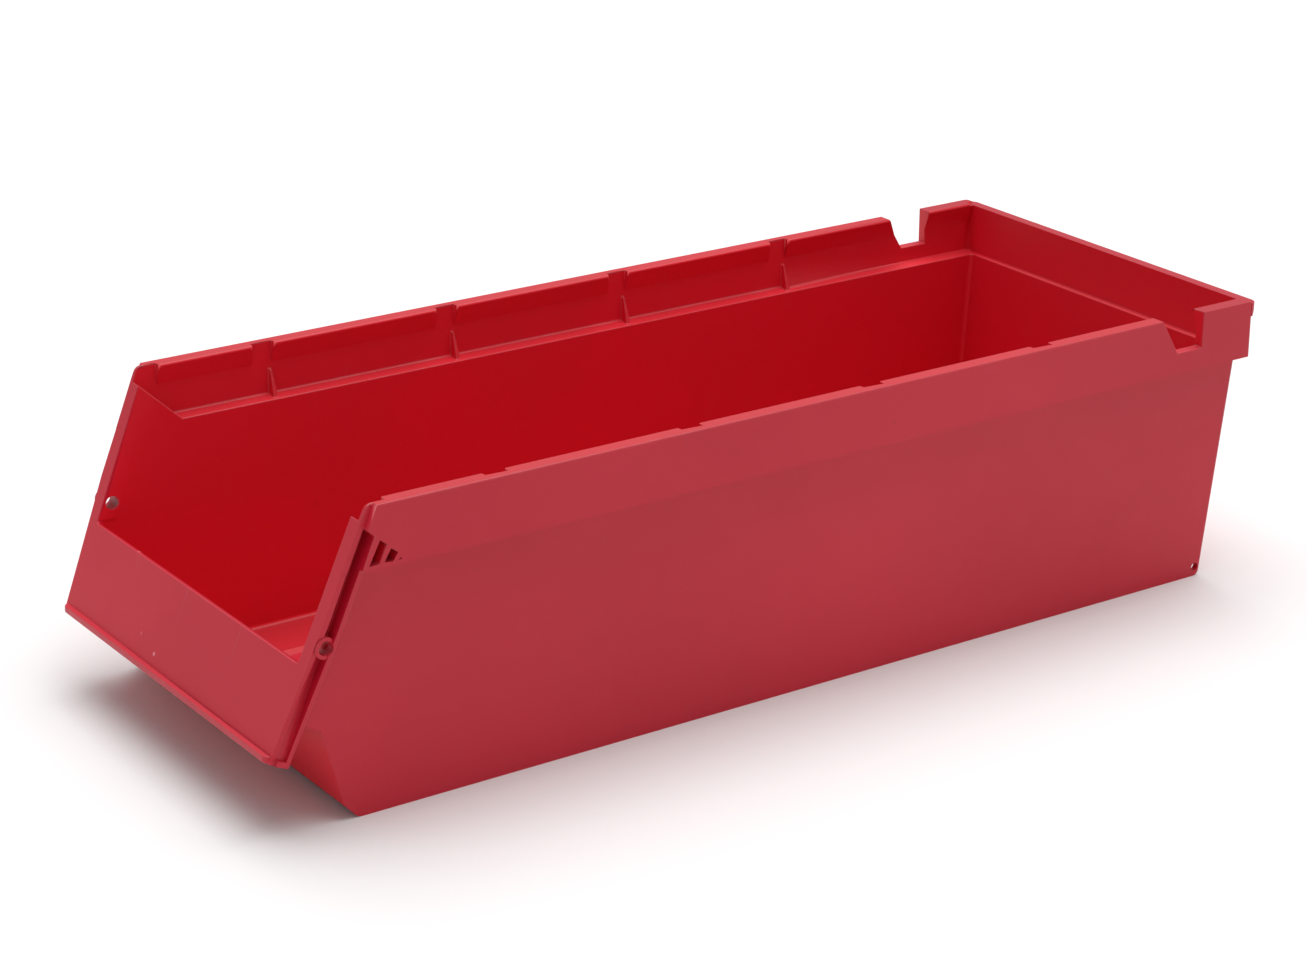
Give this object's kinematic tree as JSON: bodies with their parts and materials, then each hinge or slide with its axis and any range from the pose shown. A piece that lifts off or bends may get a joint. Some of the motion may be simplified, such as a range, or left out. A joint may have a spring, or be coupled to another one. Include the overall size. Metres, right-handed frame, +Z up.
{
  "type": "stacking storage bin",
  "caption": "Long open-fronted plastic bin with a leaning low front panel, a ledge inside a thick rim collar that the next bin stands in, rim tabs, rear notches and skirts.",
  "frame": {"origin": "under the middle of the bin, on the surface that it stands on", "axes": "+X across the bin, -Y out of the open front, +Y towards the rear lip, +Z up"},
  "size_m": [0.202, 0.502, 0.133],
  "materials": {
    "bin_plastic": "satin"
  },
  "bodies": {
    "root": {"bin_body": "bin_plastic"}
  },
  "joints": []
}
